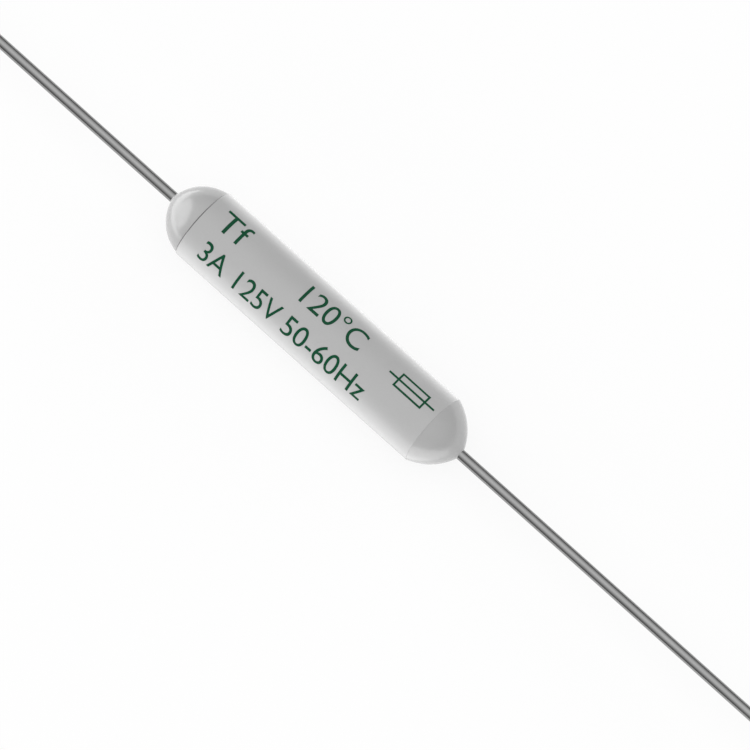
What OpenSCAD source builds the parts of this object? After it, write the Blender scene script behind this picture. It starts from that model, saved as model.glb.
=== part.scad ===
// Thermal fuse, alloy type, with axial leads.
// Millimetres. The axis is X, and the middle of the tube is the origin.

/* [Ceramic tube] */
// Outside diameter of the tube
tube_od = 2.8; // [2.4:0.1:3.6]
// Wall of the tube
tube_wall = 0.5; // [0.35:0.05:0.6]
// Length of the tube
tube_length = 11; // [10:0.5:16]
// Chamfer on the tube's outer rims
rim_chamfer = 0.05; // [0.03:0.01:0.1]

/* [Resin seals] */
// Height of the left dome past the tube's end
left_dome_height = 1.36; // [1.2:0.01:1.5]
// Height of the right dome past the tube's end
right_dome_height = 1.32; // [1.2:0.01:1.5]
// How far across the axis the left dome's arc is centred: more makes the dome more pointed
left_dome_point = 0.25; // [0:0.05:0.8]
// How far across the axis the right dome's arc is centred: more makes the dome more pointed
right_dome_point = 0.65; // [0:0.05:0.8]
// Share of the rim chamfer that the left resin wets
left_rim_wet = 0.15; // [0.1:0.05:0.9]
// Share of the rim chamfer that the right resin wets
right_rim_wet = 0.75; // [0.1:0.05:0.9]
// Depth of the resin plug in the bore
plug_depth = 1.8; // [1:0.1:2]
// Hollow in the plug's inner face
plug_hollow = 0.12; // [0.05:0.01:0.16]
// Flat lip of resin beside the hollow, at the wire and at the bore
plug_lip = 0.05; // [0.02:0.01:0.1]
// Radius of the meniscus where a dome meets its lead
meniscus = 0.06; // [0.04:0.02:0.2]
// Angle at which the meniscus meets the lead and the dome
wetting_angle = 20; // [15:1:25]

/* [Leads] */
// Wire diameter
lead_d = 0.4; // [0.3:0.02:0.5]
// Length from cut end to cut end
overall_length = 64; // [44:1:90]
// Share of the wire's diameter left where it is coined flat, to key it in the resin
coin_squash = 0.6; // [0.5:0.05:0.7]
// Length of the coined flat
coin_length = 1; // [0.8:0.1:1.6]
// Resin between the coined flat and the top of the meniscus
coin_cover = 0.26; // [0.24:0.02:0.3]
// Bevel on the wire's cut end
cut_bevel = 0.04; // [0.02:0.01:0.08]

/* [Fusible element] */
// Length over which the alloy tapers to the wire at a weld
weld_taper = 0.6; // [0.3:0.1:1]
// Alloy left round the wire at the end of a weld
weld_lip = 0.04; // [0.02:0.01:0.06]
// Depth of the wire's tip in the alloy
weld_depth = 0.5; // [0.2:0.1:0.9]
// Gap between the flux and the bore
flux_clearance = 0.15; // [0.1:0.05:0.25]
// Flux over the alloy rod
flux_thickness = 0.3; // [0.2:0.05:0.4]
// Flux left round the wire at the end of its taper
flux_lip = 0.05; // [0.03:0.01:0.1]
// Air between the flux and each plug
flux_air = 0.4; // [0.2:0.1:0.8]
// Wire that the flux covers past each end of the alloy
flux_lap = 0.8; // [0.6:0.1:1.2]

/* [Hidden] */
$fn = 96;
tube_r = tube_od / 2;
bore_r = tube_r - tube_wall;
tube_half = tube_length / 2;
lead_r = lead_d / 2;
// The coined flat keeps the wire's cross-section.
coin_thickness = coin_squash * lead_d;
coin_width = PI * lead_r * lead_r / coin_thickness;
// The flux keeps clear of the bore and the plugs, and the alloy lies inside it.
flux_r = bore_r - flux_clearance;
flux_half = tube_half - plug_depth - flux_air;
alloy_r = flux_r - flux_thickness;
alloy_half = flux_half - flux_lap;
shoulder_x = alloy_half - weld_taper;
// The hollow in a plug is an arc between its two lips.
hollow_mid = (bore_r + lead_r) / 2;
hollow_half = (bore_r - lead_r) / 2 - plug_lip;
hollow_arc_r = (hollow_half * hollow_half + plug_hollow * plug_hollow) / (2 * plug_hollow);
// An end of the fuse: dome height, dome point, and share of the rim chamfer that is wet.
left_end = [left_dome_height, left_dome_point, left_rim_wet];
right_end = [right_dome_height, right_dome_point, right_rim_wet];
// The centre of a meniscus arc, off the axis.
meniscus_r = lead_r + meniscus * cos(wetting_angle);

// Where the resin's edge lies on the rim chamfer.
function edge_r(end) = tube_r - rim_chamfer * (1 - end[2]);
function edge_x(end) = tube_half - rim_chamfer * end[2];

// The dome's arc goes through the resin's edge and the dome's tip.
function dome_rise(end) = tube_half + end[0] - edge_x(end);
function dome_x(end) =
    edge_x(end)
    + (pow(dome_rise(end), 2) - pow(edge_r(end), 2) - 2 * edge_r(end) * end[1]) / (2 * dome_rise(end));
function dome_r(end) = norm([end[1], tube_half + end[0] - dome_x(end)]);

// The distance between the centres of the dome's arc and the meniscus arc, and the latter's place along the axis.
function meniscus_reach(end) =
    sqrt(pow(dome_r(end), 2) + pow(meniscus, 2) + 2 * dome_r(end) * meniscus * cos(wetting_angle));
function meniscus_x(end) = dome_x(end) + sqrt(pow(meniscus_reach(end), 2) - pow(meniscus_r + end[1], 2));

// Where the meniscus ends on the wire.
function resin_top(end) = meniscus_x(end) - meniscus * sin(wetting_angle);

// Turns a profile, drawn as radius and place along the axis, about X.
module turned() {
    rotate([0, 90, 0])
        rotate_extrude()
            children();
}

// Resin for the end at +X, solid to the axis.
module resin(end) {
    arc_x = meniscus_x(end);
    // The meniscus stops inside the dome, on the line between the two arcs' centres.
    foot_r = meniscus_r - meniscus * (meniscus_r + end[1]) / meniscus_reach(end);
    turned() {
        // Plug in the bore
        difference() {
            translate([0, tube_half - plug_depth])
                square([bore_r, plug_depth]);
            translate([hollow_mid, tube_half - plug_depth + plug_hollow - hollow_arc_r])
                circle(r = hollow_arc_r);
        }
        // Dome from its edge on the rim
        intersection() {
            translate([-end[1], dome_x(end)])
                circle(r = dome_r(end));
            polygon([
                [0, tube_half],
                [tube_r - rim_chamfer, tube_half],
                [edge_r(end), edge_x(end)],
                [2 * tube_r, edge_x(end)],
                [2 * tube_r, arc_x],
                [0, arc_x]
            ]);
        }
        // Meniscus on the wire
        difference() {
            translate([0, tube_half])
                square([foot_r, arc_x - tube_half]);
            translate([meniscus_r, arc_x])
                circle(r = meniscus);
        }
    }
}

// Wire for the end at +X, coined flat where the dome holds it.
module wire(end) {
    tip_x = alloy_half - weld_depth;
    key_x = resin_top(end) - coin_cover - coin_length;
    end_x = overall_length / 2;
    difference() {
        turned()
            polygon([
                [0, tip_x],
                [lead_r, tip_x],
                [lead_r, end_x - cut_bevel],
                [lead_r - cut_bevel, end_x],
                [0, end_x]
            ]);
        for (side = [0, 180])
            rotate([side, 0, 0])
                translate([key_x, -lead_d, coin_thickness / 2])
                    cube([coin_length, 2 * lead_d, lead_d]);
    }
    translate([key_x, -coin_width / 2, -coin_thickness / 2])
        cube([coin_length, coin_width, coin_thickness]);
}

module ceramic_tube() {
    color("silver")
        turned()
            polygon([
                [bore_r, -tube_half],
                [tube_r - rim_chamfer, -tube_half],
                [tube_r, rim_chamfer - tube_half],
                [tube_r, tube_half - rim_chamfer],
                [tube_r - rim_chamfer, tube_half],
                [bore_r, tube_half]
            ]);
}

module left_seal() {
    color("darkgray")
        difference() {
            mirror([1, 0, 0])
                resin(left_end);
            left_lead();
        }
}

module right_seal() {
    color("darkgray")
        difference() {
            resin(right_end);
            right_lead();
        }
}

module left_lead() {
    color("gray")
        mirror([1, 0, 0])
            wire(left_end);
}

module right_lead() {
    color("gray")
        wire(right_end);
}

// Rod that tapers from its shoulders to the wire at both ends, solid to the axis.
module spindle(middle_r, end_r, end_x) {
    turned()
        polygon([
            [0, -end_x],
            [end_r, -end_x],
            [middle_r, -shoulder_x],
            [middle_r, shoulder_x],
            [end_r, end_x],
            [0, end_x]
        ]);
}

module alloy_blank() {
    spindle(alloy_r, lead_r + weld_lip, alloy_half);
}

module fusible_alloy() {
    color("slategray")
        difference() {
            alloy_blank();
            left_lead();
            right_lead();
        }
}

module flux_coating() {
    color("goldenrod")
        difference() {
            spindle(flux_r, lead_r + flux_lip, flux_half);
            alloy_blank();
            left_lead();
            right_lead();
        }
}

ceramic_tube();
left_seal();
right_seal();
left_lead();
right_lead();
fusible_alloy();
flux_coating();
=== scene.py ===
from math import acos, atan2, cos, hypot, pi, radians, sin, sqrt

import bmesh
import bpy
from bpy.props import FloatProperty, FloatVectorProperty, IntProperty, PointerProperty, StringProperty
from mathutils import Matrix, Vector


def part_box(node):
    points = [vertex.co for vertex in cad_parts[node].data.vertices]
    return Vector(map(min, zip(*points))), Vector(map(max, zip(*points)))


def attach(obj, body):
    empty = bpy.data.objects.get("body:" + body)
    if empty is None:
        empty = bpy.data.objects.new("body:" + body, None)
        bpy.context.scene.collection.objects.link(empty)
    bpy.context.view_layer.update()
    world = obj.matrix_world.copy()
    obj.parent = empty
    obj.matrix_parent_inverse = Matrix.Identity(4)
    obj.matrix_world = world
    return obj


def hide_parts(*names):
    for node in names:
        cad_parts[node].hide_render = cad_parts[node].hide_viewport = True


bl_info = {
    "name": "Axial Thermal Fuse",
    "version": (1, 0, 0),
    "blender": (4, 5, 0),
    "location": "3D View > Sidebar > Thermal Fuse",
    "description": "Dresses the packed thermal fuse and sets it on a white table",
    "category": "Add Mesh",
}

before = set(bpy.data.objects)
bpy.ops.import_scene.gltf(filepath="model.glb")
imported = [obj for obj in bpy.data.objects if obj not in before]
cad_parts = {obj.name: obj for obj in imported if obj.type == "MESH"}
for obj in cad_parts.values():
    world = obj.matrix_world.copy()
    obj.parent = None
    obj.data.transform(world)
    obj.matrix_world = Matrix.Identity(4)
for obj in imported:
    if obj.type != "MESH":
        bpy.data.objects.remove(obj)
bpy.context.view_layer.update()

MM = 0.001
# The photograph is this many pixels wide and high.
FRAME_PIXELS = 750
# The tube's width in the photograph, and the pixel at which the tube's middle lies.
TUBE_PIXELS = 80.4
TUBE_MIDDLE_PIXEL = (318.1, 326.8)

TUBE_LOW, TUBE_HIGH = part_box("ceramic_tube")
TUBE_RADIUS = TUBE_HIGH.z
TUBE_HALF = TUBE_HIGH.x
WIRE_LOW, WIRE_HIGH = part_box("right_lead")
WIRE_RADIUS = WIRE_HIGH.z
WIRE_TIP = WIRE_LOW.x
WIRE_END = WIRE_HIGH.x
# The fuse's two ends, and the way each points along X.
ENDS = (("left", -1), ("right", 1))

# Steps in a dome's arc, and in the smaller arcs of the resin.
DOME_STEPS = 48
SMALL_STEPS = 12
# Length of the slope at each end of a coined flat.
FLAT_SLOPE = 0.02 * MM
# A coined flat takes in the points up to this far past its ends,
# and up to this many times the wire's radius off its axis.
FLAT_SLACK = 0.0001 * MM
WIRE_SLACK = 1.01
# Where the cut starts on a piece that has none: farther out than any of its points.
NO_CUT = 1.0
# Points closer than this are one point.
MERGE_DISTANCE = 0.00001 * MM
# Edges that fold by more than this stay crisp.
CRISP_FOLD = radians(32)
# The printed groups, and how many times their faces are halved to follow the tube.
PRINTED = ("upper_left", "upper_right", "lower_left", "lower_right")
PRINT_LEVEL = 3
# The ink's underside lies this far inside the tube, so that no light gets under its edges.
INK_SINK = 0.001 * MM

# The table's half width and the camera's distance and range, in metres.
TABLE_HALF = 0.6
CAMERA_DISTANCE = 0.2
CAMERA_RANGE = (0.01, 10)
# Fill lights face the tube from three sides. Each has its size and its place, in metres.
FILLS = {
    "front": ((0.6, 0.16), (0.1, -0.4, 0.08)),
    "rear": ((0.6, 0.24), (0.16, 0.4, 0.14)),
    "end": ((0.5, 0.24), (-0.39, -0.1, 0.13)),
}
# The card past the left lead, and its light on the table.
CARD_SIZE = (0.56, 0.6)
CARD_PLACE = (-0.386, -0.104, 0.012)
SHEEN_SIZE = (0.1, 0.02)
SHEEN_PLACE = (-0.06, -0.005)
# The table's glow beside the tube: its size, its place on the table, and the pieces that it lights.
GLOWS = {
    "front_glow": ((0.06, 0.03), (-0.004, -0.017), ("glazed_tube", "cast_right_seal")),
    "rear_glow": ((0.06, 0.007), (-0.004, 0.0055), ("glazed_tube",)),
}
# A light on the table lies at this height, 0.01 mm above it, and its back points down.
GLOW_HEIGHT = TUBE_LOW.z + 0.01 * MM
DOWN = Vector((0, 0, -1))


def linear(code):
    """The linear colour, with alpha, of an sRGB hex value."""
    parts = [int(code[i:i + 2], 16) / 255 for i in (1, 3, 5)]
    return [p / 12.92 if p <= 0.04045 else ((p + 0.055) / 1.055) ** 2.4 for p in parts] + [1.0]


class FuseSizes(bpy.types.PropertyGroup):
    """Sizes of the turned pieces that the frame's boxes don't give."""

    bore: FloatProperty(
        name="Bore", description="Diameter of the tube's bore", default=1.8 * MM, unit="LENGTH")
    rim_chamfer: FloatProperty(
        name="Rim chamfer", description="Chamfer on the tube's outer rims", default=0.05 * MM,
        unit="LENGTH")
    left_dome: FloatProperty(
        name="Left dome", description="Height of the left dome past the tube", default=1.36 * MM,
        unit="LENGTH")
    right_dome: FloatProperty(
        name="Right dome", description="Height of the right dome past the tube", default=1.32 * MM,
        unit="LENGTH")
    left_point: FloatProperty(
        name="Left point", description="How far across the axis the left dome's arc is centred",
        default=0.25 * MM, unit="LENGTH")
    right_point: FloatProperty(
        name="Right point", description="How far across the axis the right dome's arc is centred",
        default=0.65 * MM, unit="LENGTH")
    plug_depth: FloatProperty(
        name="Plug depth", description="Depth of the resin in the bore", default=1.8 * MM, unit="LENGTH")
    plug_hollow: FloatProperty(
        name="Plug hollow", description="Depth of the hollow in the plug's inner face", default=0.12 * MM,
        unit="LENGTH")
    plug_lip: FloatProperty(
        name="Plug lip", description="Flat lip on both sides of the hollow", default=0.05 * MM,
        unit="LENGTH")
    meniscus: FloatProperty(
        name="Meniscus", description="Radius of the resin where a dome meets its lead", default=0.06 * MM,
        unit="LENGTH")
    wetting: FloatProperty(
        name="Wetting angle", description="Angle at which the resin meets the lead", default=radians(20),
        subtype="ANGLE")
    flat_share: FloatProperty(
        name="Flat thickness", description="Share of the wire's diameter left at the coined flat",
        default=0.6, subtype="FACTOR", min=0.3, max=1)
    flat_length: FloatProperty(
        name="Flat length", description="Length of the coined flat in the resin", default=1 * MM,
        unit="LENGTH")
    flat_cover: FloatProperty(
        name="Flat cover", description="Resin between the coined flat and the open air", default=0.26 * MM,
        unit="LENGTH")
    cut_bevel: FloatProperty(
        name="Cut bevel", description="Bevel that the cutter leaves on the wire", default=0.04 * MM,
        unit="LENGTH")
    tube_segments: IntProperty(
        name="Tube segments", description="Faces round the tube and its seals", default=160,
        min=24, max=400)
    wire_segments: IntProperty(
        name="Wire segments", description="Faces round a lead", default=64, min=12, max=200)


class PrintSizes(bpy.types.PropertyGroup):
    """The rating that is printed on the tube: plain values, and the circuit symbol of a fuse."""

    upper_left: StringProperty(
        name="Upper left", description="First group of the upper row", default="Tf")
    upper_right: StringProperty(
        name="Upper right", description="Second group of the upper row", default="120°C")
    lower_left: StringProperty(
        name="Lower left", description="First group of the lower row", default="3A 125V")
    lower_right: StringProperty(
        name="Lower right", description="Second group of the lower row", default="50-60Hz")
    upper_left_span: FloatVectorProperty(
        name="Upper left span", description="Start and length along the tube",
        default=(-4.88 * MM, 1.2 * MM), size=2, unit="LENGTH")
    upper_right_span: FloatVectorProperty(
        name="Upper right span", description="Start and length along the tube",
        default=(-0.92 * MM, 2.76 * MM), size=2, unit="LENGTH")
    lower_left_span: FloatVectorProperty(
        name="Lower left span", description="Start and length along the tube",
        default=(-4.7 * MM, 3.61 * MM), size=2, unit="LENGTH")
    lower_right_span: FloatVectorProperty(
        name="Lower right span", description="Start and length along the tube",
        default=(-0.78 * MM, 3.75 * MM), size=2, unit="LENGTH")
    upper_height: FloatProperty(
        name="Upper height", description="Height of a capital in the upper row", default=0.88 * MM,
        unit="LENGTH")
    lower_height: FloatProperty(
        name="Lower height", description="Height of a capital in the lower row", default=0.82 * MM,
        unit="LENGTH")
    symbol_length: FloatProperty(
        name="Symbol length", description="Length of the fuse symbol", default=2.1 * MM, unit="LENGTH")
    symbol_box: FloatProperty(
        name="Symbol box", description="Share of the symbol's length that its box takes up", default=0.62,
        subtype="FACTOR", min=0.1, max=1)
    symbol_height: FloatProperty(
        name="Symbol height", description="Height of the fuse symbol's box", default=0.62 * MM,
        unit="LENGTH")
    symbol_middle: FloatProperty(
        name="Symbol middle", description="Place of the fuse symbol along the tube", default=4.2 * MM,
        unit="LENGTH")
    pen: FloatProperty(
        name="Pen", description="Width of the fuse symbol's lines", default=0.075 * MM, unit="LENGTH")
    upper_angle: FloatProperty(
        name="Upper row", description="Turn of the upper row from the top of the tube", default=radians(16),
        subtype="ANGLE")
    lower_angle: FloatProperty(
        name="Lower row", description="Turn of the lower row from the top of the tube",
        default=radians(-40), subtype="ANGLE")
    symbol_angle: FloatProperty(
        name="Symbol", description="Turn of the symbol from the top of the tube", default=radians(11),
        subtype="ANGLE")
    film: FloatProperty(
        name="Ink film", description="Thickness of the dry ink", default=0.005 * MM, unit="LENGTH")


# What every colour's property has in common.
COLOUR = {"size": 4, "subtype": "COLOR", "min": 0, "max": 1}


class FuseColours(bpy.types.PropertyGroup):
    """Colours of the finishes."""

    ceramic: FloatVectorProperty(
        name="Ceramic", description="Glazed tube", default=linear("#ADADAD"), **COLOUR)
    # Painted shade for the groove where the tube's chamfered rim meets the resin
    rim: FloatVectorProperty(
        name="Rim", description="Unglazed rim at a seal", default=linear("#3A3A3A"), **COLOUR)
    resin: FloatVectorProperty(
        name="Resin", description="Cast seals", default=linear("#AAAAAA"), **COLOUR)
    tin: FloatVectorProperty(
        name="Tin", description="Plating on the leads", default=linear("#A0A0A0"), **COLOUR)
    copper: FloatVectorProperty(
        name="Copper", description="Core of the leads, bare at the cut", default=linear("#C07A52"),
        **COLOUR)
    alloy: FloatVectorProperty(
        name="Fusible alloy", description="Rod that melts", default=linear("#A3A4A8"), **COLOUR)
    flux: FloatVectorProperty(
        name="Flux", description="Rosin round the alloy", default=linear("#B98531"), **COLOUR)
    ink: FloatVectorProperty(
        name="Ink", description="Printed rating", default=linear("#01452B"), **COLOUR)
    table: FloatVectorProperty(
        name="Table", description="White table top", default=linear("#FAFAFA"), **COLOUR)


class StageSettings(bpy.types.PropertyGroup):
    """Camera and light."""

    azimuth: FloatProperty(
        name="Azimuth", description="Camera's turn about the upright from the front", default=radians(42.8),
        subtype="ANGLE")
    elevation: FloatProperty(
        name="Elevation", description="Camera's height above the table", default=radians(75.5),
        subtype="ANGLE")
    ceiling: FloatProperty(
        name="Ceiling", description="Brightness of the room straight above", default=1.24, min=0, max=4)
    horizon: FloatProperty(
        name="Horizon", description="Brightness of the room at the table's level", default=0.12,
        min=0, max=4)
    ends: FloatProperty(
        name="Ends", description="Brightness that the room gains past the leads", default=0.25,
        min=0, max=4)
    front: FloatProperty(
        name="Front", description="Brightness of the fill light before the tube", default=2.3, min=0)
    rear: FloatProperty(
        name="Rear", description="Brightness of the fill light behind the tube", default=1.5, min=0)
    end: FloatProperty(
        name="End", description="Brightness of the fill light past the left lead", default=2.3, min=0)
    glow: FloatProperty(
        name="Glow", description="Brightness of the table's glow on both sides of the tube",
        default=0.9, min=0)
    card: FloatProperty(
        name="Card", description="Brightness of the card that the left dome reflects, and of its sheen",
        default=1.7, min=0)
    table_light: FloatProperty(
        name="Table light", description="Share of the table's look that is its own white light",
        default=0.85, subtype="FACTOR", min=0, max=1)


def feed(node, feeds):
    """Sets a node's inputs to values, or links them to sockets or to other nodes' first outputs."""
    for name, value in feeds.items():
        if isinstance(value, bpy.types.Node):
            value = value.outputs[0]
        if isinstance(value, bpy.types.NodeSocket):
            node.id_data.links.new(value, node.inputs[name])
        else:
            node.inputs[name].default_value = value


def add(tree, kind, feeds=None, **settings):
    """Adds a node with its settings, and feeds its inputs."""
    made = tree.nodes.new(kind)
    for name, value in settings.items():
        setattr(made, name, value)
    feed(made, feeds or {})
    return made


def finish(name):
    """A new material with its node tree, its shader and its place in millimetres."""
    material = bpy.data.materials.new(name)
    material.use_nodes = True
    tree = material.node_tree
    shader = tree.nodes["Principled BSDF"]
    place = add(tree, "ShaderNodeTexCoord").outputs["Object"]
    place = add(tree, "ShaderNodeVectorMath", {0: place, "Scale": 1 / MM}, operation="SCALE")
    return material, tree, shader, place


def glazed_ceramic(colours, rim_chamfer):
    """Extruded steatite under a thin clear glaze: an even pale grey with faint clouds and a soft gloss."""
    material, tree, shader, place = finish("Glazed steatite ceramic")
    # Clouds of 1.2 mm are where the clay took the fire differently.
    clouds = add(tree, "ShaderNodeTexNoise", {"Vector": place, "Scale": 1 / 1.2, "Detail": 3})
    # The grain is about 0.01 mm, and is drawn at 0.05 mm so that it shows.
    grain = add(tree, "ShaderNodeTexNoise", {"Vector": place, "Scale": 1 / 0.05, "Detail": 2})
    # The extruder leaves lines along the tube, 0.15 mm apart.
    drag = add(tree, "ShaderNodeVectorMath", {
        0: place, 1: (1 / 8, 1 / 0.15, 1 / 0.15)}, operation="MULTIPLY")
    lines = add(tree, "ShaderNodeTexNoise", {"Vector": drag, "Scale": 1, "Detail": 1})
    tone = add(tree, "ShaderNodeMapRange", {"Value": clouds, "To Min": 0.97, "To Max": 1.03})
    speckle = add(tree, "ShaderNodeMapRange", {
        "Value": grain, "From Min": 0.3, "From Max": 0.7, "To Min": 0.985, "To Max": 1.015})
    shade = add(tree, "ShaderNodeMath", {0: tone, 1: speckle}, operation="MULTIPLY")
    body = add(tree, "ShaderNodeVectorMath", {0: colours.ceramic[:3], "Scale": shade}, operation="SCALE")
    # The chamfered rims, down in the groove where tube and resin meet, carry painted shade: the left one
    # fully dark, the right one a fifth as dark.
    along = add(tree, "ShaderNodeSeparateXYZ", {0: place}).outputs["X"]
    reach = add(tree, "ShaderNodeMath", {0: along}, operation="ABSOLUTE")
    edge = (TUBE_HALF - rim_chamfer) / MM
    blur = 0.005
    bare = add(tree, "ShaderNodeMapRange", {
        "Value": reach, "From Min": edge - blur, "From Max": edge + blur})
    groove_shade_side = add(tree, "ShaderNodeMapRange", {
        "Value": along, "From Min": -1, "From Max": 1, "To Min": 1, "To Max": 0.2})
    dark = add(tree, "ShaderNodeMath", {0: bare, 1: groove_shade_side}, operation="MULTIPLY")
    colour = add(tree, "ShaderNodeMix", {0: dark, 6: body, 7: colours.rim}, data_type="RGBA")
    rough = add(tree, "ShaderNodeMapRange", {"Value": clouds, "To Min": 0.4, "To Max": 0.5})
    height = add(tree, "ShaderNodeMath", {0: lines, 1: grain}, operation="ADD")
    bump = add(tree, "ShaderNodeBump", {"Height": height, "Strength": 0.3, "Distance": 0.002 * MM})
    # The coat is the glaze, a clear skin that shows most at the tube's edges.
    feed(shader, {
        "Base Color": colour.outputs[2], "Roughness": rough, "Normal": bump, "IOR": 1.55,
        "Coat Weight": 0.5, "Coat Roughness": 0.2})
    return material


def cast_epoxy(colours):
    """Grey epoxy that set where it was dripped: glossier than the tube, and gently wavy."""
    material, tree, shader, place = finish("Cast epoxy resin")
    # The skin sinks a little in patches of 0.7 mm as the resin cures.
    waves = add(tree, "ShaderNodeTexNoise", {"Vector": place, "Scale": 1 / 0.7, "Detail": 2})
    # Filler grains are about 0.01 mm, and are drawn at 0.04 mm so that they show.
    filler = add(tree, "ShaderNodeTexNoise", {"Vector": place, "Scale": 1 / 0.04, "Detail": 1})
    tone = add(tree, "ShaderNodeMapRange", {"Value": waves, "To Min": 0.96, "To Max": 1.04})
    speckle = add(tree, "ShaderNodeMapRange", {
        "Value": filler, "From Min": 0.3, "From Max": 0.7, "To Min": 0.985, "To Max": 1.015})
    shade = add(tree, "ShaderNodeMath", {0: tone, 1: speckle}, operation="MULTIPLY")
    body = add(tree, "ShaderNodeVectorMath", {0: colours.resin[:3], "Scale": shade}, operation="SCALE")
    bump = add(tree, "ShaderNodeBump", {"Height": waves, "Strength": 0.4, "Distance": 0.02 * MM})
    rough = add(tree, "ShaderNodeMapRange", {"Value": waves, "To Min": 0.16, "To Max": 0.26})
    # The coat is clear resin that rises to the skin above the filler.
    feed(shader, {
        "Base Color": body, "Roughness": rough, "Normal": bump, "Coat Normal": bump, "IOR": 1.55,
        "Coat Weight": 0.5, "Coat Roughness": 0.2})
    return material


def tinned_wire(colours):
    """Drawn copper wire dipped in tin: dull silver grey, with die lines along it and clouded patches."""
    material, tree, shader, place = finish("Tinned copper wire")
    # The die leaves lines of about 0.01 mm, drawn at 0.04 mm so that they show.
    drawn = add(tree, "ShaderNodeVectorMath", {
        0: place, 1: (1 / 5, 1 / 0.04, 1 / 0.04)}, operation="MULTIPLY")
    lines = add(tree, "ShaderNodeTexNoise", {"Vector": drawn, "Scale": 1, "Detail": 0})
    # Tin dulls in patches of 0.9 mm.
    patches = add(tree, "ShaderNodeTexNoise", {"Vector": place, "Scale": 1 / 0.9, "Detail": 3})
    tone = add(tree, "ShaderNodeMapRange", {"Value": patches, "To Min": 0.9, "To Max": 1.1})
    streak = add(tree, "ShaderNodeMapRange", {"Value": lines, "To Min": 0.96, "To Max": 1.04})
    shade = add(tree, "ShaderNodeMath", {0: tone, 1: streak}, operation="MULTIPLY")
    body = add(tree, "ShaderNodeVectorMath", {0: colours.tin[:3], "Scale": shade}, operation="SCALE")
    rough = add(tree, "ShaderNodeMapRange", {"Value": patches, "To Min": 0.16, "To Max": 0.24})
    bump = add(tree, "ShaderNodeBump", {"Height": lines, "Strength": 0.2, "Distance": 0.0015 * MM})
    # The tint takes a little light from the wire's edges, where the dulled tin is seen at a slant.
    feed(shader, {
        "Base Color": body, "Roughness": rough, "Normal": bump, "Metallic": 1,
        "Specular Tint": (0.8, 0.8, 0.8, 1)})
    return material


def sheared_copper(colours):
    """Bare copper where the wire was cut: warm and matt, with the shear's lines across it."""
    material, tree, shader, place = finish("Sheared copper")
    # The shear leaves lines about 0.06 mm apart across the cut. A wave repeats every pi / 10 units.
    lines = add(tree, "ShaderNodeTexWave", {
        "Vector": place, "Scale": pi / 10 / 0.0592, "Distortion": 1.5}, bands_direction="Z").outputs["Fac"]
    shade = add(tree, "ShaderNodeMapRange", {"Value": lines, "To Min": 0.8, "To Max": 1.05})
    body = add(tree, "ShaderNodeVectorMath", {0: colours.copper[:3], "Scale": shade}, operation="SCALE")
    bump = add(tree, "ShaderNodeBump", {"Height": lines, "Strength": 0.3, "Distance": 0.003 * MM})
    feed(shader, {"Base Color": body, "Normal": bump, "Metallic": 1, "Roughness": 0.45})
    return material


def cast_alloy(colours):
    """Low-melting bismuth alloy, cast as a rod: frosty grey metal with coarse crystals."""
    material, tree, shader, place = finish("Cast bismuth alloy")
    # Crystals are 0.12 mm across.
    crystals = add(tree, "ShaderNodeTexVoronoi", {"Vector": place, "Scale": 1 / 0.12})
    shade = add(tree, "ShaderNodeMapRange", {"Value": crystals, "To Min": 1.05, "To Max": 0.82})
    body = add(tree, "ShaderNodeVectorMath", {0: colours.alloy[:3], "Scale": shade}, operation="SCALE")
    bump = add(tree, "ShaderNodeBump", {"Height": crystals, "Strength": 0.3, "Distance": 0.01 * MM})
    feed(shader, {"Base Color": body, "Normal": bump, "Metallic": 1, "Roughness": 0.4})
    return material


def rosin_flux(colours):
    """Rosin that set round the rod: glassy amber, darker where it is thick."""
    material, tree, shader, place = finish("Rosin flux")
    # Thick and thin runs are 0.5 mm wide.
    runs = add(tree, "ShaderNodeTexNoise", {"Vector": place, "Scale": 1 / 0.5, "Detail": 2})
    shade = add(tree, "ShaderNodeMapRange", {"Value": runs, "To Min": 0.6, "To Max": 1.1})
    body = add(tree, "ShaderNodeVectorMath", {0: colours.flux[:3], "Scale": shade}, operation="SCALE")
    bump = add(tree, "ShaderNodeBump", {"Height": runs, "Strength": 0.3, "Distance": 0.03 * MM})
    feed(shader, {"Base Color": body, "Normal": bump, "Roughness": 0.12, "IOR": 1.53})
    return material


def pad_ink(colours):
    """Pad-printed epoxy ink: flat dark green, a little thinner in patches."""
    material, tree, shader, place = finish("Pad-printed epoxy ink")
    # The pad leaves patches of 0.12 mm.
    patches = add(tree, "ShaderNodeTexNoise", {"Vector": place, "Scale": 1 / 0.12, "Detail": 2})
    shade = add(tree, "ShaderNodeMapRange", {"Value": patches, "To Min": 0.75, "To Max": 1.25})
    body = add(tree, "ShaderNodeVectorMath", {0: colours.ink[:3], "Scale": shade}, operation="SCALE")
    rough = add(tree, "ShaderNodeMapRange", {"Value": patches, "To Min": 0.45, "To Max": 0.6})
    feed(shader, {"Base Color": body, "Roughness": rough, "IOR": 1.5, "Specular IOR Level": 0.2})
    return material


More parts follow.
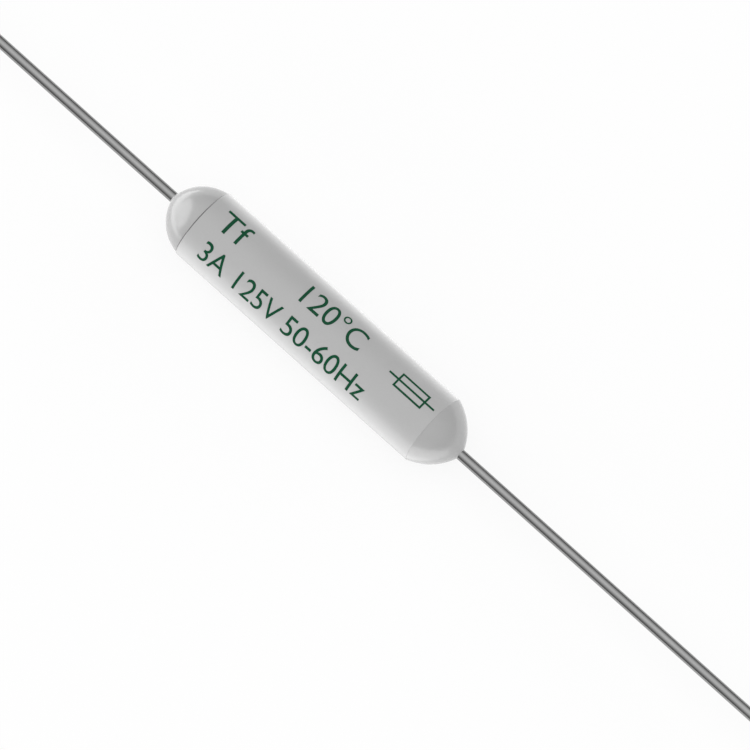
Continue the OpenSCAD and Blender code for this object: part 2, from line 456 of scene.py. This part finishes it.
def white_laminate(colours, own_light):
    """Matt white laminate: an even white with a trace of tooth, and only the softest of shadows."""
    material, tree, shader, place = finish("White laminate table")
    # The laminate's tooth is 0.4 mm, too shallow to show as more than a trace of tone.
    tooth = add(tree, "ShaderNodeTexNoise", {"Vector": place, "Scale": 1 / 0.4, "Detail": 1})
    shade = add(tree, "ShaderNodeMapRange", {"Value": tooth, "To Min": 0.998, "To Max": 1.0})
    body = add(tree, "ShaderNodeVectorMath", {0: colours.table[:3], "Scale": shade}, operation="SCALE")
    feed(shader, {"Base Color": body, "Roughness": 1, "Specular IOR Level": 0})
    # The camera and reflections see it lit mostly from within, which keeps it white and its shadow soft.
    paths = add(tree, "ShaderNodeLightPath").outputs
    seen = paths["Is Camera Ray"]
    for way in ("Is Glossy Ray", "Is Transmission Ray"):
        seen = add(tree, "ShaderNodeMath", {0: seen, 1: paths[way]}, operation="MAXIMUM")
    share = add(tree, "ShaderNodeMath", {0: seen, 1: own_light}, operation="MULTIPLY")
    glow = add(tree, "ShaderNodeEmission", {"Color": (1, 1, 1, 1), "Strength": 1})
    surface = add(tree, "ShaderNodeMixShader", {0: share, 1: shader, 2: glow})
    feed(tree.nodes["Material Output"], {"Surface": surface})
    return material


def new_tree(name, inputs):
    """A Geometry Nodes tree with a geometry input, the named inputs and a geometry output."""
    tree = bpy.data.node_groups.new(name, "GeometryNodeTree")
    for label, kind in {"Geometry": "Geometry", **inputs}.items():
        tree.interface.new_socket(name=label, in_out="INPUT", socket_type=f"NodeSocket{kind}")
    tree.interface.new_socket(name="Geometry", in_out="OUTPUT", socket_type="NodeSocketGeometry")
    return tree, add(tree, "NodeGroupInput").outputs


def turning_tree():
    """Turns an outline about X, presses a stretch of wire flat, and bares the wire's cut end."""
    tree, given = new_tree("Turned piece", {
        "Segments": "Int",
        "Wire radius": "Float",
        "Flat from": "Float",
        "Flat to": "Float",
        "Flat half thickness": "Float",
        "Flat widening": "Float",
        "Cut from": "Float",
        "Finish": "Material",
        "Cut finish": "Material",
    })
    index = add(tree, "GeometryNodeInputIndex")
    position = add(tree, "GeometryNodeInputPosition")
    # A grid has one row of vertices for each point of the outline.
    points = add(tree, "GeometryNodeAttributeDomainSize", {0: given["Geometry"]}).outputs["Point Count"]
    around = add(tree, "ShaderNodeMath", {0: given["Segments"], 1: 1}, operation="ADD")
    grid = add(tree, "GeometryNodeMeshGrid", {"Vertices X": points, "Vertices Y": around})
    row = add(tree, "ShaderNodeMath", {0: index, 1: around}, operation="DIVIDE")
    row = add(tree, "ShaderNodeMath", {0: row}, operation="FLOOR")
    step = add(tree, "ShaderNodeMath", {0: index, 1: around}, operation="MODULO")
    share = add(tree, "ShaderNodeMath", {0: step, 1: given["Segments"]}, operation="DIVIDE")
    angle = add(tree, "ShaderNodeMath", {0: share, 1: 2 * pi}, operation="MULTIPLY")
    place = add(tree, "GeometryNodeSampleIndex", {
        "Geometry": given["Geometry"], "Value": position, "Index": row}, data_type="FLOAT_VECTOR")
    spun = add(tree, "ShaderNodeVectorRotate", {"Vector": place, "Angle": angle}, rotation_type="X_AXIS")
    solid = add(tree, "GeometryNodeSetPosition", {"Geometry": grid, "Position": spun})
    solid = add(tree, "GeometryNodeMergeByDistance", {"Geometry": solid, "Distance": MERGE_DISTANCE})
    # The coined flat
    axes = add(tree, "ShaderNodeSeparateXYZ", {0: position}).outputs
    reach = add(tree, "ShaderNodeMath", {0: axes["X"]}, operation="ABSOLUTE")
    across = add(tree, "ShaderNodeCombineXYZ", {"Y": axes["Y"], "Z": axes["Z"]})
    off_axis = add(tree, "ShaderNodeVectorMath", {0: across}, operation="LENGTH").outputs["Value"]
    limit = add(tree, "ShaderNodeMath", {0: given["Wire radius"], 1: WIRE_SLACK}, operation="MULTIPLY")
    on_wire = add(tree, "ShaderNodeMath", {0: off_axis, 1: limit}, operation="LESS_THAN")
    past = add(tree, "ShaderNodeMath", {0: reach, 1: given["Flat from"]}, operation="GREATER_THAN")
    before = add(tree, "ShaderNodeMath", {0: reach, 1: given["Flat to"]}, operation="LESS_THAN")
    pressed = add(tree, "ShaderNodeMath", {0: past, 1: before}, operation="MULTIPLY")
    pressed = add(tree, "ShaderNodeMath", {0: pressed, 1: on_wire}, operation="MULTIPLY")
    wide = add(tree, "ShaderNodeMath", {0: axes["Y"], 1: given["Flat widening"]}, operation="MULTIPLY")
    high = given["Flat half thickness"]
    low = add(tree, "ShaderNodeMath", {0: high, 1: -1}, operation="MULTIPLY")
    under = add(tree, "ShaderNodeMath", {0: axes["Z"], 1: high}, operation="MINIMUM")
    level = add(tree, "ShaderNodeMath", {0: under, 1: low}, operation="MAXIMUM")
    flat = add(tree, "ShaderNodeCombineXYZ", {"X": axes["X"], "Y": wide, "Z": level})
    solid = add(tree, "GeometryNodeSetPosition", {
        "Geometry": solid, "Selection": pressed, "Position": flat})
    # Smooth faces with crisp rims
    solid = add(tree, "GeometryNodeSetShadeSmooth", {0: solid})
    fold = add(tree, "GeometryNodeInputMeshEdgeAngle").outputs["Unsigned Angle"]
    crisp = add(tree, "ShaderNodeMath", {0: fold, 1: CRISP_FOLD}, operation="GREATER_THAN")
    solid = add(tree, "GeometryNodeSetShadeSmooth", {
        0: solid, "Selection": crisp, "Shade Smooth": False}, domain="EDGE")
    solid = add(tree, "GeometryNodeRealizeInstances", {0: solid})
    solid = add(tree, "GeometryNodeSetMaterial", {0: solid, "Material": given["Finish"]})
    cut = add(tree, "ShaderNodeMath", {0: reach, 1: given["Cut from"]}, operation="GREATER_THAN")
    solid = add(tree, "GeometryNodeSetMaterial", {
        0: solid, "Selection": cut, "Material": given["Cut finish"]})
    add(tree, "NodeGroupOutput", {0: solid})
    return tree


def wrapping_tree():
    """Lays a flat print on the tube, with the thickness of its ink."""
    tree, given = new_tree("Wrap on the tube", {"Tube radius": "Float", "Turn": "Float", "Film": "Float"})
    position = add(tree, "GeometryNodeInputPosition")
    fine = add(tree, "GeometryNodeSubdivideMesh", {0: given["Geometry"], "Level": PRINT_LEVEL})
    axes = add(tree, "ShaderNodeSeparateXYZ", {0: position}).outputs
    share = add(tree, "ShaderNodeMath", {0: axes["Y"], 1: given["Tube radius"]}, operation="DIVIDE")
    angle = add(tree, "ShaderNodeMath", {0: share, 1: given["Turn"]}, operation="ADD")
    top = add(tree, "ShaderNodeCombineXYZ", {"X": axes["X"], "Z": given["Tube radius"]})
    # A turn about X takes the top of the tube towards -Y, so the angle is reversed.
    angle = add(tree, "ShaderNodeMath", {0: angle, 1: -1}, operation="MULTIPLY")
    wrapped = add(tree, "ShaderNodeVectorRotate", {"Vector": top, "Angle": angle}, rotation_type="X_AXIS")
    under = add(tree, "GeometryNodeSetPosition", {"Geometry": fine, "Position": wrapped})
    over = add(tree, "GeometryNodeExtrudeMesh", {
        "Mesh": under, "Offset Scale": given["Film"], "Individual": False}, mode="FACES")
    back = add(tree, "GeometryNodeFlipFaces", {0: under})
    join = add(tree, "GeometryNodeJoinGeometry", {0: over})
    feed(join, {0: back})
    shut = add(tree, "GeometryNodeMergeByDistance", {"Geometry": join, "Distance": MERGE_DISTANCE})
    add(tree, "NodeGroupOutput", {0: shut})
    return tree


# Inputs of every tree that prints, after those of its own.
INK_INPUTS = {"Tube radius": "Float", "Turn": "Float", "Film": "Float", "Finish": "Material"}


def end_in_ink(tree, given, wrap, flat):
    """Ends a tree by laying a flat print on the tube in its ink."""
    ink = add(tree, "GeometryNodeGroup", {
        "Geometry": flat,
        "Tube radius": given["Tube radius"],
        "Turn": given["Turn"],
        "Film": given["Film"],
    }, node_tree=wrap)
    ink = add(tree, "GeometryNodeRealizeInstances", {0: ink})
    ink = add(tree, "GeometryNodeSetMaterial", {0: ink, "Material": given["Finish"]})
    add(tree, "NodeGroupOutput", {0: ink})


def lettering_tree(wrap):
    """Sets a group of figures along the tube, to the given length and height of a capital."""
    tree, given = new_tree("Printed figures", {
        "Text": "String",
        "Capital height": "Float",
        "Length": "Float",
        "Start": "Float",
        **INK_INPUTS,
    })
    letters = add(tree, "GeometryNodeStringToCurves", {"String": given["Text"], "Size": 1})
    letters = add(tree, "GeometryNodeRealizeInstances", {0: letters})
    box = add(tree, "GeometryNodeBoundBox", {0: letters, "Use Radius": False}).outputs
    low = add(tree, "ShaderNodeSeparateXYZ", {0: box["Min"]}).outputs
    high = add(tree, "ShaderNodeSeparateXYZ", {0: box["Max"]}).outputs
    tall = add(tree, "ShaderNodeMath", {0: high["Y"], 1: low["Y"]}, operation="SUBTRACT")
    long = add(tree, "ShaderNodeMath", {0: high["X"], 1: low["X"]}, operation="SUBTRACT")
    up = add(tree, "ShaderNodeMath", {0: given["Capital height"], 1: tall}, operation="DIVIDE")
    out = add(tree, "ShaderNodeMath", {0: given["Length"], 1: long}, operation="DIVIDE")
    scale = add(tree, "ShaderNodeCombineXYZ", {"X": out, "Y": up, "Z": 1})
    half = add(tree, "ShaderNodeMath", {0: tall, 1: 0.5}, operation="MULTIPLY")
    middle = add(tree, "ShaderNodeMath", {0: low["Y"], 1: half}, operation="ADD")
    corner = add(tree, "ShaderNodeCombineXYZ", {"X": low["X"], "Y": middle})
    position = add(tree, "GeometryNodeInputPosition")
    moved = add(tree, "ShaderNodeVectorMath", {0: position, 1: corner}, operation="SUBTRACT")
    sized = add(tree, "ShaderNodeVectorMath", {0: moved, 1: scale}, operation="MULTIPLY")
    start = add(tree, "ShaderNodeCombineXYZ", {"X": given["Start"]})
    placed = add(tree, "ShaderNodeVectorMath", {0: sized, 1: start}, operation="ADD")
    faces = add(tree, "GeometryNodeFillCurve", {0: letters}, mode="TRIANGLES")
    faces = add(tree, "GeometryNodeSetPosition", {"Geometry": faces, "Position": placed})
    end_in_ink(tree, given, wrap, faces)
    return tree


def symbol_tree(wrap):
    """Draws the circuit symbol of a fuse, a box on a line, and lays it on the tube."""
    tree, given = new_tree("Fuse symbol", {
        "Length": "Float",
        "Box length": "Float",
        "Box height": "Float",
        "Pen": "Float",
        "Middle": "Float",
        **INK_INPUTS,
    })
    box_length = given["Box length"]
    box_height = given["Box height"]
    edges = add(tree, "ShaderNodeMath", {0: given["Pen"], 1: 2}, operation="MULTIPLY")
    inner_length = add(tree, "ShaderNodeMath", {0: box_length, 1: edges}, operation="SUBTRACT")
    inner_height = add(tree, "ShaderNodeMath", {0: box_height, 1: edges}, operation="SUBTRACT")
    # The box is the field between two rectangles.
    box = add(tree, "GeometryNodeJoinGeometry")
    for length, height in ((box_length, box_height), (inner_length, inner_height)):
        side = add(tree, "GeometryNodeCurvePrimitiveQuadrilateral", {"Width": length, "Height": height})
        feed(box, {0: side})
    fields = add(tree, "GeometryNodeJoinGeometry")
    filled = add(tree, "GeometryNodeFillCurve", {0: box}, mode="TRIANGLES")
    feed(fields, {0: filled})
    # The line is three bars, which meet the box and don't cross it.
    spare = add(tree, "ShaderNodeMath", {0: given["Length"], 1: box_length}, operation="SUBTRACT")
    stub = add(tree, "ShaderNodeMath", {0: spare, 1: 0.5}, operation="MULTIPLY")
    reach = add(tree, "ShaderNodeMath", {0: box_length, 1: stub}, operation="ADD")
    for length, share in ((stub, -0.5), (inner_length, 0), (stub, 0.5)):
        bar = add(tree, "GeometryNodeCurvePrimitiveQuadrilateral", {
            "Width": length, "Height": given["Pen"]})
        shift = add(tree, "ShaderNodeMath", {0: reach, 1: share}, operation="MULTIPLY")
        place = add(tree, "ShaderNodeCombineXYZ", {"X": shift})
        field = add(tree, "GeometryNodeFillCurve", {0: bar}, mode="TRIANGLES")
        moved = add(tree, "GeometryNodeSetPosition", {"Geometry": field, "Offset": place})
        feed(fields, {0: moved})
    middle = add(tree, "ShaderNodeCombineXYZ", {"X": given["Middle"]})
    placed = add(tree, "GeometryNodeSetPosition", {"Geometry": fields, "Offset": middle})
    end_in_ink(tree, given, wrap, placed)
    return tree


def grown(name, tree, values, mesh=None):
    """An object whose mesh is the tree's result."""
    base = mesh or bpy.data.meshes.new(name)
    piece = bpy.data.objects.new(name, base)
    bpy.context.scene.collection.objects.link(piece)
    modifier = piece.modifiers.new(tree.name, "NODES")
    modifier.node_group = tree
    for item in tree.interface.items_tree:
        if item.in_out == "INPUT" and item.name in values:
            modifier[item.identifier] = values[item.name]
    ready = piece.evaluated_get(bpy.context.evaluated_depsgraph_get())
    result = bpy.data.meshes.new_from_object(ready)
    piece.modifiers.clear()
    piece.data = result
    bpy.data.meshes.remove(base)
    result.name = name
    if not result.polygons:
        raise RuntimeError(f"{name} came out empty")
    shell = bmesh.new()
    shell.from_mesh(result)
    bmesh.ops.recalc_face_normals(shell, faces=shell.faces)
    shell.to_mesh(result)
    shell.free()
    return piece


def outline(name, points, shut):
    """A line of edges through points given as place along X and distance from it."""
    mesh = bpy.data.meshes.new(name)
    corners = [(x, 0, r) for x, r in points]
    if shut:
        corners.append(corners[0])
    mesh.from_pydata(corners, [(i, i + 1) for i in range(len(corners) - 1)], [])
    return mesh


def arc(x, r, radius, start, end, steps):
    """Points on an arc about (x, r)."""
    turns = [start + (end - start) * i / steps for i in range(steps + 1)]
    return [(x + radius * cos(t), r + radius * sin(t)) for t in turns]


def seal_points(sizes, end):
    """Outline of the resin at one end, pointing to +X, and where its coined flat starts and stops."""
    dome = getattr(sizes, f"{end}_dome")
    point = getattr(sizes, f"{end}_point")
    bend = sizes.meniscus
    edge_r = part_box(f"{end}_seal")[1].z
    edge_x = TUBE_HALF - sizes.rim_chamfer + (TUBE_RADIUS - edge_r)
    rise = TUBE_HALF + dome - edge_x
    # The dome's arc goes through the rim and the tip, and is centred across the axis.
    ball_x = edge_x + (rise ** 2 - edge_r ** 2 - 2 * edge_r * point) / (2 * rise)
    ball = hypot(point, TUBE_HALF + dome - ball_x)
    # The meniscus leaves the dome and meets the lead at the wetting angle.
    bend_r = WIRE_RADIUS + bend * cos(sizes.wetting)
    apart = sqrt(ball ** 2 + bend ** 2 + 2 * ball * bend * cos(sizes.wetting))
    bend_x = ball_x + sqrt(apart ** 2 - (bend_r + point) ** 2)
    leave = pi + atan2(bend_r + point, bend_x - ball_x)
    leave += acos((bend ** 2 + apart ** 2 - ball ** 2) / (2 * bend * apart))
    meniscus = arc(bend_x, bend_r, bend, leave, 1.5 * pi - sizes.wetting, SMALL_STEPS)
    start = atan2(edge_r + point, edge_x - ball_x)
    stop = atan2(meniscus[0][1] + point, meniscus[0][0] - ball_x)
    skin = arc(ball_x, -point, ball, start, stop, DOME_STEPS)[:-1] + meniscus
    flat_to = skin[-1][0] - sizes.flat_cover
    flat_from = flat_to - sizes.flat_length
    # The hollow in the plug's inner face
    bore = sizes.bore / 2
    inner = TUBE_HALF - sizes.plug_depth
    half = (bore - WIRE_RADIUS) / 2 - sizes.plug_lip
    sweep = (half ** 2 + sizes.plug_hollow ** 2) / (2 * sizes.plug_hollow)
    lean = atan2(half, sweep - sizes.plug_hollow)
    hollow_x = inner + sizes.plug_hollow - sweep
    hollow = arc(hollow_x, (bore + WIRE_RADIUS) / 2, sweep, -lean, lean, SMALL_STEPS)
    plug = [(inner, WIRE_RADIUS)] + hollow + [(inner, bore), (TUBE_HALF, bore)]
    rim = [(TUBE_HALF, TUBE_RADIUS - sizes.rim_chamfer)]
    hole = [(x, WIRE_RADIUS) for x in reversed(flat_steps(flat_from, flat_to))]
    return plug + rim + skin + hole, flat_from, flat_to


def flat_steps(start, stop):
    """Places along the wire at which the coined flat begins and ends, each with a short slope."""
    return [start - FLAT_SLOPE, start, stop, stop + FLAT_SLOPE]


def flat_values(sizes, start, stop):
    """What the turning tree needs to press a coined flat as thick and as wide as the frame's."""
    return {
        "Wire radius": WIRE_RADIUS,
        "Flat from": start - FLAT_SLACK,
        "Flat to": stop + FLAT_SLACK,
        "Flat half thickness": sizes.flat_share * WIRE_RADIUS,
        "Flat widening": pi / (4 * sizes.flat_share),
    }


class FUSE_OT_tube(bpy.types.Operator):
    """Turns the ceramic tube, with its bore and chamfered rims"""

    bl_idname = "thermal_fuse.tube"
    bl_label = "Ceramic tube"

    def execute(self, context):
        sizes = context.scene.fuse_sizes
        bore = sizes.bore / 2
        rim = TUBE_RADIUS - sizes.rim_chamfer
        shoulder = TUBE_HALF - sizes.rim_chamfer
        points = [(-TUBE_HALF, bore), (-TUBE_HALF, rim), (-shoulder, TUBE_RADIUS),
                  (shoulder, TUBE_RADIUS), (TUBE_HALF, rim), (TUBE_HALF, bore)]
        tube = grown("glazed_tube", turning_tree(), {
            "Segments": sizes.tube_segments,
            "Cut from": NO_CUT,
            "Finish": glazed_ceramic(context.scene.fuse_colours, sizes.rim_chamfer),
        }, outline("tube_outline", points, True))
        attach(tube, "root")
        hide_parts("ceramic_tube")
        return {"FINISHED"}


class FUSE_OT_seals(bpy.types.Operator):
    """Turns the two resin seals, each a plug, a dome and a meniscus round its lead"""

    bl_idname = "thermal_fuse.seals"
    bl_label = "Resin seals"

    def execute(self, context):
        sizes = context.scene.fuse_sizes
        resin = cast_epoxy(context.scene.fuse_colours)
        tree = turning_tree()
        for end, side in ENDS:
            points, flat_from, flat_to = seal_points(sizes, end)
            seal = grown(f"cast_{end}_seal", tree, {
                "Segments": sizes.tube_segments,
                "Cut from": NO_CUT,
                "Finish": resin,
                **flat_values(sizes, flat_from, flat_to),
            }, outline("seal_outline", [(side * x, r) for x, r in points], True))
            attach(seal, "root")
            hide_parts(f"{end}_seal")
        return {"FINISHED"}


class FUSE_OT_leads(bpy.types.Operator):
    """Draws the two leads, coined flat inside the resin and sheared at their ends"""

    bl_idname = "thermal_fuse.leads"
    bl_label = "Leads"

    def execute(self, context):
        sizes = context.scene.fuse_sizes
        colours = context.scene.fuse_colours
        tin = tinned_wire(colours)
        copper = sheared_copper(colours)
        tree = turning_tree()
        bevel = sizes.cut_bevel
        for end, side in ENDS:
            flat_from, flat_to = seal_points(sizes, end)[1:]
            points = [(WIRE_TIP, 0), (WIRE_TIP, WIRE_RADIUS)]
            points += [(x, WIRE_RADIUS) for x in flat_steps(flat_from, flat_to)]
            points += [(WIRE_END - bevel, WIRE_RADIUS), (WIRE_END, WIRE_RADIUS - bevel), (WIRE_END, 0)]
            lead = grown(f"drawn_{end}_lead", tree, {
                "Segments": sizes.wire_segments,
                "Cut from": WIRE_END - bevel / 4,
                "Finish": tin,
                "Cut finish": copper,
                **flat_values(sizes, flat_from, flat_to),
            }, outline("lead_outline", [(side * x, r) for x, r in points], False))
            # The domes' skin is too uneven to mirror a wire this thin.
            lead.visible_glossy = False
            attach(lead, "root")
            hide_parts(f"{end}_lead")
        return {"FINISHED"}


class FUSE_OT_element(bpy.types.Operator):
    """Gives the hidden alloy rod and its flux their finishes"""

    bl_idname = "thermal_fuse.element"
    bl_label = "Fusible element"

    def execute(self, context):
        colours = context.scene.fuse_colours
        finishes = {"fusible_alloy": cast_alloy(colours), "flux_coating": rosin_flux(colours)}
        for node, material in finishes.items():
            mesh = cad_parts[node].data
            mesh.materials.clear()
            mesh.materials.append(material)
        return {"FINISHED"}


class FUSE_OT_print(bpy.types.Operator):
    """Prints the plain ratings and the circuit symbol of a fuse on the tube"""

    bl_idname = "thermal_fuse.print"
    bl_label = "Printed rating"

    def execute(self, context):
        sizes = context.scene.fuse_print
        ink = pad_ink(context.scene.fuse_colours)
        wrap = wrapping_tree()
        lettering = lettering_tree(wrap)
        shared = {"Tube radius": TUBE_RADIUS - INK_SINK, "Film": sizes.film, "Finish": ink}
        for name in PRINTED:
            row = name.split("_")[0]
            start, length = getattr(sizes, f"{name}_span")
            piece = grown(f"print_{name}", lettering, {
                "Text": getattr(sizes, name),
                "Capital height": getattr(sizes, f"{row}_height"),
                "Length": length,
                "Start": start,
                "Turn": getattr(sizes, f"{row}_angle"),
                **shared,
            })
            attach(piece, "root")
        symbol = grown("print_symbol", symbol_tree(wrap), {
            "Length": sizes.symbol_length,
            "Box length": sizes.symbol_box * sizes.symbol_length,
            "Box height": sizes.symbol_height,
            "Pen": sizes.pen,
            "Middle": sizes.symbol_middle,
            "Turn": sizes.symbol_angle,
            **shared,
        })
        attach(symbol, "root")
        return {"FINISHED"}


class FUSE_OT_stage(bpy.types.Operator):
    """Sets the white table, the lights and the camera"""

    bl_idname = "thermal_fuse.stage"
    bl_label = "Stage"

    def execute(self, context):
        scene = context.scene
        settings = scene.fuse_stage
        self.lay_table(scene, settings)
        self.light_room(scene, settings)
        self.set_lights(scene, settings)
        self.aim_camera(scene, settings)
        scene.view_settings.view_transform = "Standard"
        return {"FINISHED"}

    def lay_table(self, scene, settings):
        mesh = bpy.data.meshes.new("table")
        ways = ((-1, -1), (1, -1), (1, 1), (-1, 1))
        corners = [(x * TABLE_HALF, y * TABLE_HALF, TUBE_LOW.z) for x, y in ways]
        mesh.from_pydata(corners, [], [(0, 1, 2, 3)])
        mesh.materials.append(white_laminate(scene.fuse_colours, settings.table_light))
        table = bpy.data.objects.new("table", mesh)
        scene.collection.objects.link(table)

    def light_room(self, scene, settings):
        world = bpy.data.worlds.new("White room")
        world.use_nodes = True
        scene.world = world
        tree = world.node_tree
        # The room is a white tent that is brightest overhead, and brighter at its ends than at its sides.
        way = add(tree, "ShaderNodeTexCoord").outputs["Generated"]
        axes = add(tree, "ShaderNodeSeparateXYZ", {0: way}).outputs
        rise = add(tree, "ShaderNodeMath", {0: axes["Z"], 1: 0}, operation="MAXIMUM")
        fade = add(tree, "ShaderNodeMath", {0: rise, 1: 2}, operation="POWER")
        upright = add(tree, "ShaderNodeMapRange", {
            "Value": fade, "To Min": settings.horizon, "To Max": settings.ceiling})
        along = add(tree, "ShaderNodeMath", {0: axes["X"], 1: axes["X"]}, operation="MULTIPLY")
        level = add(tree, "ShaderNodeMath", {
            0: along, 1: settings.ends, 2: upright}, operation="MULTIPLY_ADD")
        feed(tree.nodes["Background"], {"Color": (1, 1, 1, 1), "Strength": level})

    def set_lights(self, scene, settings):
        # Gloss doesn't show the fill lights.
        for side, (size, place) in FILLS.items():
            place = Vector(place)
            fill = self.add_light(scene, f"{side}_fill", getattr(settings, side), size, place, place)
            fill.visible_glossy = False
        # The left dome alone shows the round card and its sheen on the table, and only in its gloss.
        place = Vector(CARD_PLACE)
        card = self.add_light(scene, "end_card", settings.card, CARD_SIZE, place, place)
        card.data.shape = "ELLIPSE"
        place = Vector((*SHEEN_PLACE, GLOW_HEIGHT))
        sheen = self.add_light(scene, "end_sheen", settings.card, SHEEN_SIZE, place, DOWN)
        for holder in (card, sheen):
            holder.visible_diffuse = False
            self.keep_to(holder, ("cast_left_seal",))
        # The table's glow lights the tube's sides and the right dome from below.
        for name, (size, middle, pieces) in GLOWS.items():
            place = Vector((*middle, GLOW_HEIGHT))
            glow = self.add_light(scene, name, settings.glow, size, place, DOWN)
            self.keep_to(glow, pieces)

    def add_light(self, scene, name, brightness, size, place, back):
        lamp = bpy.data.lights.new(name, "AREA")
        lamp.shape = "RECTANGLE"
        lamp.size, lamp.size_y = size
        lamp.energy = brightness * pi * size[0] * size[1]
        holder = bpy.data.objects.new(name, lamp)
        holder.location = place
        holder.rotation_euler = back.to_track_quat("Z", "Y").to_euler()
        holder.visible_camera = False
        scene.collection.objects.link(holder)
        return holder

    def keep_to(self, holder, names):
        pieces = bpy.data.collections.new(f"Lit by {holder.name}")
        for name in names:
            pieces.objects.link(bpy.data.objects[name])
        holder.light_linking.receiver_collection = pieces

    def aim_camera(self, scene, settings):
        turn = settings.azimuth
        rise = settings.elevation
        back = Vector((sin(turn) * cos(rise), -cos(turn) * cos(rise), sin(rise)))
        right = Vector((cos(turn), sin(turn), 0))
        up = back.cross(right)
        pixel = 2 * TUBE_RADIUS / TUBE_PIXELS
        across, down = (FRAME_PIXELS / 2 - place for place in TUBE_MIDDLE_PIXEL)
        aim = (right * across - up * down) * pixel
        lens = bpy.data.cameras.new("camera")
        lens.type = "ORTHO"
        lens.ortho_scale = pixel * FRAME_PIXELS
        lens.clip_start, lens.clip_end = CAMERA_RANGE
        camera = bpy.data.objects.new("camera", lens)
        camera.location = aim + back * CAMERA_DISTANCE
        camera.rotation_euler = back.to_track_quat("Z", "Y").to_euler()
        scene.collection.objects.link(camera)
        scene.camera = camera


class FUSE_PT_panel(bpy.types.Panel):
    """Lists the pieces of the fuse and their settings"""

    bl_idname = "FUSE_PT_panel"
    bl_label = "Thermal Fuse"
    bl_space_type = "VIEW_3D"
    bl_region_type = "UI"
    bl_category = "Thermal Fuse"

    def draw(self, context):
        for step in STEPS:
            self.layout.operator(step.bl_idname)
        for key in GROUPS:
            group = getattr(context.scene, key)
            box = self.layout.box()
            for name in group.__annotations__:
                box.prop(group, name)


STEPS = (FUSE_OT_tube, FUSE_OT_seals, FUSE_OT_leads, FUSE_OT_element, FUSE_OT_print, FUSE_OT_stage)
GROUPS = {
    "fuse_sizes": FuseSizes,
    "fuse_print": PrintSizes,
    "fuse_colours": FuseColours,
    "fuse_stage": StageSettings,
}
CLASSES = (*GROUPS.values(), *STEPS, FUSE_PT_panel)


def register():
    for cls in CLASSES:
        bpy.utils.register_class(cls)
    for name, group in GROUPS.items():
        setattr(bpy.types.Scene, name, PointerProperty(type=group))


def unregister():
    for name in GROUPS:
        delattr(bpy.types.Scene, name)
    for cls in reversed(CLASSES):
        bpy.utils.unregister_class(cls)


def main():
    register()
    bpy.ops.thermal_fuse.tube()
    bpy.ops.thermal_fuse.seals()
    bpy.ops.thermal_fuse.leads()
    bpy.ops.thermal_fuse.element()
    bpy.ops.thermal_fuse.print()
    bpy.ops.thermal_fuse.stage()


if __name__ == "__main__":
    main()
